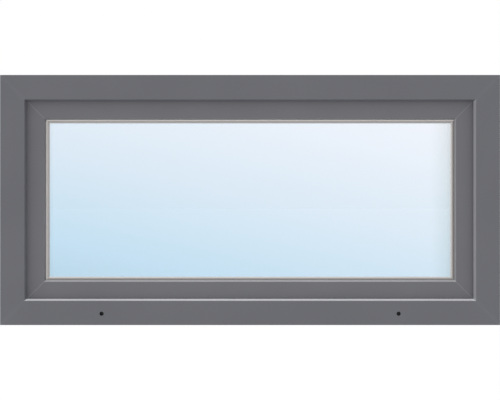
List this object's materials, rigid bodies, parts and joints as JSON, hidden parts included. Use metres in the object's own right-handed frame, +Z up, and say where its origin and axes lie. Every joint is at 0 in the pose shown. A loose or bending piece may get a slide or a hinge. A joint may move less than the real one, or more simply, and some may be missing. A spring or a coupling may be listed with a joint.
{
  "type": "pvc window",
  "caption": "Landscape PVC window with a mitred grey frame, a flush-cornered sash set back inside it, grey gaskets, double glazing, drain holes, and a lever handle and hinges on the room side.",
  "frame": {"origin": "middle of the sill's underside, at half the outer frame's depth", "axes": "+X to the right as seen from outside, +Y from outside to the room, +Z up"},
  "size_m": [1.2, 0.1425, 0.6],
  "materials": {
    "frame_pvc": "smooth satin anthracite foil",
    "sash_pvc": "smooth satin anthracite foil",
    "bead_pvc": "smooth satin anthracite foil",
    "glass": "clear float glass with a cool blue tone",
    "spacer": "matt",
    "setting_block": "matt",
    "gasket": "light grey, matt",
    "fittings": "satin anthracite"
  },
  "bodies": {
    "root": {"frame_sill": "frame_pvc", "frame_head": "frame_pvc", "frame_left_jamb": "frame_pvc", "frame_right_jamb": "frame_pvc", "sash_bottom_rail": "sash_pvc", "sash_top_rail": "sash_pvc", "sash_left_stile": "sash_pvc", "sash_right_stile": "sash_pvc", "bead_bottom": "bead_pvc", "bead_top": "bead_pvc", "bead_left": "bead_pvc", "bead_right": "bead_pvc", "outer_pane": "glass", "inner_pane": "glass", "glass_spacer": "spacer", "setting_blocks": "setting_block", "outer_glazing_gasket": "gasket", "inner_glazing_gasket": "gasket", "frame_seal": "gasket", "sash_seal": "gasket", "handle_rose": "fittings", "handle_lever": "fittings", "lower_hinge_bearing": "fittings", "lower_hinge_leaf": "fittings", "upper_hinge_bearing": "fittings", "upper_hinge_leaf": "fittings"}
  },
  "joints": []
}
